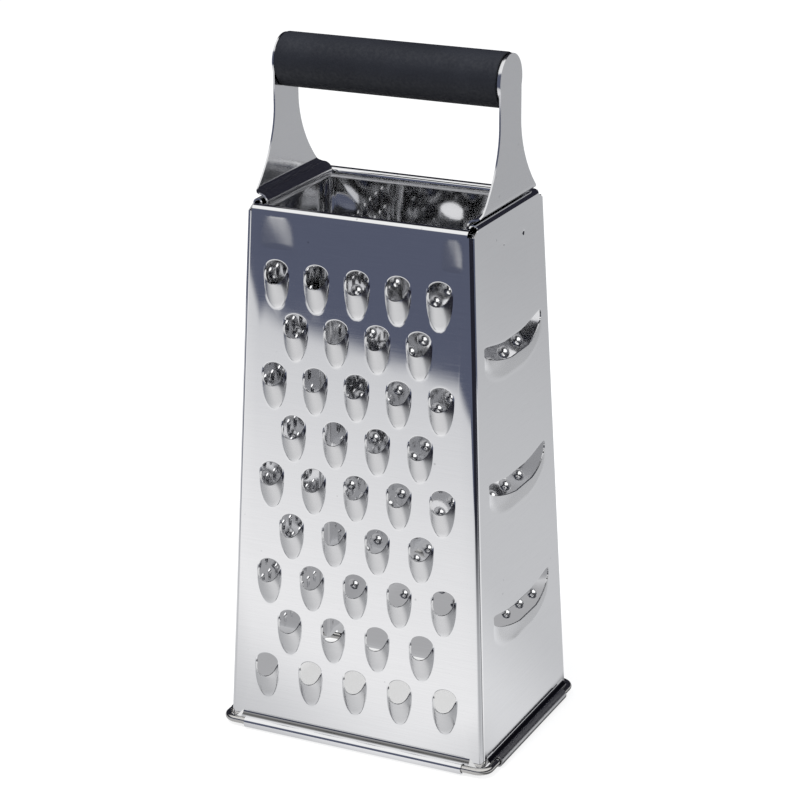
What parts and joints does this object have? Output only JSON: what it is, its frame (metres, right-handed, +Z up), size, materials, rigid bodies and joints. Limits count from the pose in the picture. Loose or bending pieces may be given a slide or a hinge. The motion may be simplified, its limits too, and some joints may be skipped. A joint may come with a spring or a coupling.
{
  "type": "box grater",
  "caption": "Tapered box grater of bent sheet steel with coarse, slicing, rasp and fine faces, a wired base and a round black grip held between side arms.",
  "frame": {"origin": "centre of the base, on the floor plane that the bottom curls stand on", "axes": "+X to the slicing face, +Y to the rasp face at the back, +Z up to the grip; the coarse face looks to -Y"},
  "size_m": [0.1044, 0.08, 0.239],
  "materials": {
    "panel_steel": "finely brushed, level lines",
    "arm_steel": "satin",
    "wire_steel": "bright drawn wire",
    "grip_plastic": "matt black with light scuffs"
  },
  "bodies": {
    "root": {"front_panel_coarse": "panel_steel", "back_panel_rasp": "panel_steel", "right_panel_slicer": "panel_steel", "left_panel_fine": "panel_steel", "base_wire": "wire_steel", "right_arm": "arm_steel", "left_arm": "arm_steel", "grip": "grip_plastic"}
  },
  "joints": []
}
